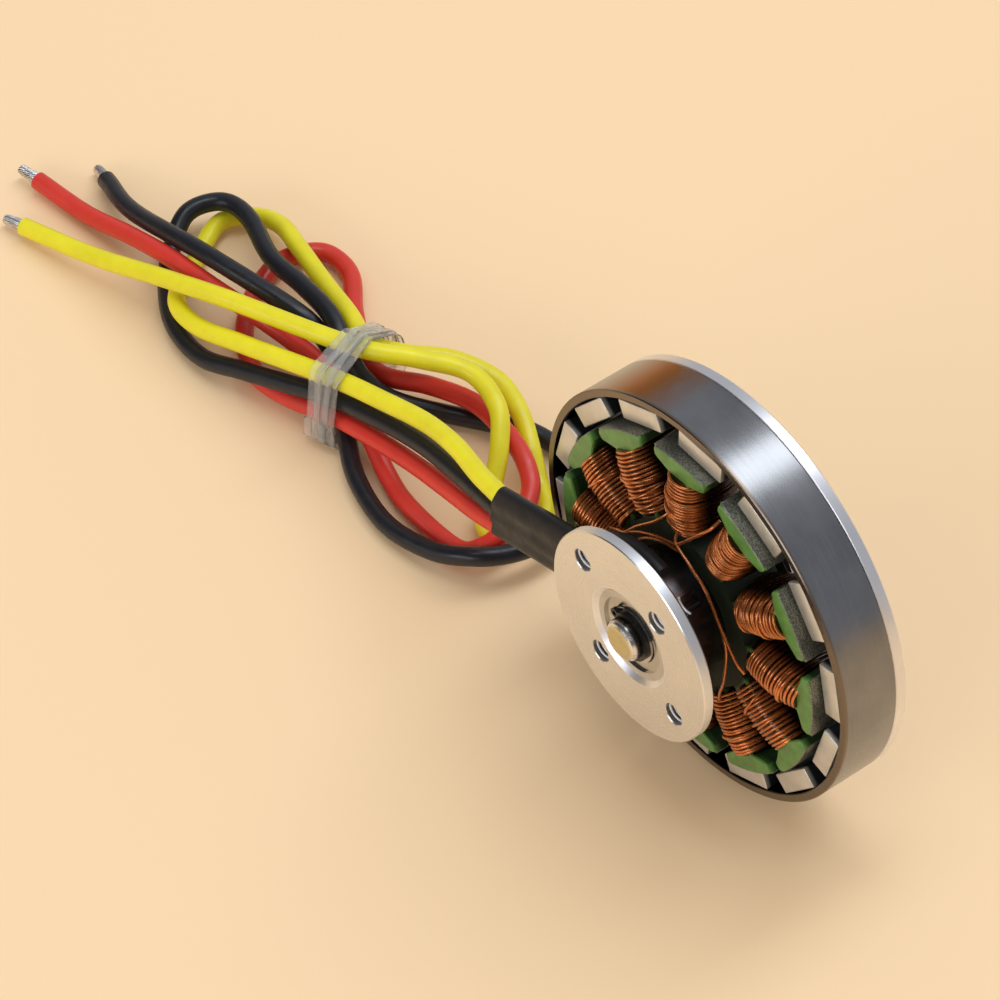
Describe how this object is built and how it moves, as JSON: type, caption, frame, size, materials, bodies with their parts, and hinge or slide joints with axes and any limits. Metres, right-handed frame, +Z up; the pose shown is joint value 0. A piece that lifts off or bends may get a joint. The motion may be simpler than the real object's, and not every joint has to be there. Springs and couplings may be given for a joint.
{
  "type": "brushless motor",
  "caption": "Flat outrunner brushless motor with an open-spoked bell, block magnets, wound stator and three silicone leads folded in a clear band",
  "frame": {"origin": "Centre of the mounting face, on the shaft axis", "axes": "+Y runs along the shaft from the mounting face to the propeller end, +Z is up as the motor stands on the edge of its bell, +X is to the right seen from the mounting face"},
  "size_m": [0.1436, 0.0317, 0.0503],
  "materials": {
    "mounting_base": "machined satin",
    "stator_core": "ground lamination edges",
    "front_insulation": "green epoxy coat",
    "rear_insulation": "green epoxy coat",
    "winding_a": "enamelled copper wire",
    "winding_b": "enamelled copper wire",
    "winding_c": "enamelled copper wire",
    "link_wires": "enamelled copper wire",
    "lead_sleeve_a": "heat-shrink tube",
    "lead_sleeve_b": "heat-shrink tube",
    "lead_sleeve_c": "heat-shrink tube",
    "exit_sleeve": "heat-shrink tube",
    "wire_yellow": "satin silicone",
    "wire_black": "satin silicone",
    "wire_red": "satin silicone",
    "strand_ends": "tinned strands",
    "clear_band": "clear film",
    "front_outer_ring": "ground bearing steel",
    "front_inner_ring": "ground bearing steel",
    "front_balls": "polished",
    "front_cage": "pressed",
    "front_shields": "pressed sheet",
    "rear_outer_ring": "ground bearing steel",
    "rear_inner_ring": "ground bearing steel",
    "rear_balls": "polished",
    "rear_cage": "pressed",
    "rear_shields": "pressed sheet",
    "spacer_sleeve": "turned",
    "shim_washer": "stamped",
    "shaft": "ground and polished",
    "snap_ring": "blackened spring steel",
    "flux_ring": "dark nickel plate",
    "end_cap": "machined, clear anodised",
    "grub_screws": "black oxide",
    "magnet_01": "nickel plate, ground ends",
    "magnet_02": "nickel plate, ground ends",
    "magnet_03": "nickel plate, ground ends",
    "magnet_04": "nickel plate, ground ends",
    "magnet_05": "nickel plate, ground ends",
    "magnet_06": "nickel plate, ground ends",
    "magnet_07": "nickel plate, ground ends",
    "magnet_08": "nickel plate, ground ends",
    "magnet_09": "nickel plate, ground ends",
    "magnet_10": "nickel plate, ground ends",
    "magnet_11": "nickel plate, ground ends",
    "magnet_12": "nickel plate, ground ends",
    "magnet_13": "nickel plate, ground ends",
    "magnet_14": "nickel plate, ground ends"
  },
  "bodies": {
    "stator": {"mounting_base": "mounting_base", "stator_core": "stator_core", "front_insulation": "front_insulation", "rear_insulation": "rear_insulation", "winding_a": "winding_a", "winding_b": "winding_b", "winding_c": "winding_c", "link_wires": "link_wires", "lead_sleeve_a": "lead_sleeve_a", "lead_sleeve_b": "lead_sleeve_b", "lead_sleeve_c": "lead_sleeve_c", "exit_sleeve": "exit_sleeve", "wire_yellow": "wire_yellow", "wire_black": "wire_black", "wire_red": "wire_red", "strand_ends": "strand_ends", "clear_band": "clear_band", "front_outer_ring": "front_outer_ring", "front_shields": "front_shields", "rear_outer_ring": "rear_outer_ring", "rear_shields": "rear_shields"},
    "rotor": {"shaft": "shaft", "snap_ring": "snap_ring", "spacer_sleeve": "spacer_sleeve", "shim_washer": "shim_washer", "front_inner_ring": "front_inner_ring", "rear_inner_ring": "rear_inner_ring", "flux_ring": "flux_ring", "end_cap": "end_cap", "grub_screws": "grub_screws", "magnet_01": "magnet_01", "magnet_02": "magnet_02", "magnet_03": "magnet_03", "magnet_04": "magnet_04", "magnet_05": "magnet_05", "magnet_06": "magnet_06", "magnet_07": "magnet_07", "magnet_08": "magnet_08", "magnet_09": "magnet_09", "magnet_10": "magnet_10", "magnet_11": "magnet_11", "magnet_12": "magnet_12", "magnet_13": "magnet_13", "magnet_14": "magnet_14"},
    "front_rolling": {"front_balls": "front_balls", "front_cage": "front_cage"},
    "rear_rolling": {"rear_balls": "rear_balls", "rear_cage": "rear_cage"}
  },
  "joints": [
    {"name": "rotor_spin", "type": "hinge", "parent": "stator", "child": "rotor", "pos_m": [0, 0, 0], "axis": [0, 1, 0], "continuous": true},
    {"name": "front_rolling_spin", "type": "hinge", "parent": "stator", "child": "front_rolling", "pos_m": [0, 0.003, 0], "axis": [0, 1, 0], "continuous": true},
    {"name": "rear_rolling_spin", "type": "hinge", "parent": "stator", "child": "rear_rolling", "pos_m": [0, 0.0133, 0], "axis": [0, 1, 0], "continuous": true}
  ],
  "couplings": [
    {"joint": "front_rolling_spin", "follows": "rotor_spin", "ratio": 0.4},
    {"joint": "rear_rolling_spin", "follows": "rotor_spin", "ratio": 0.4}
  ]
}
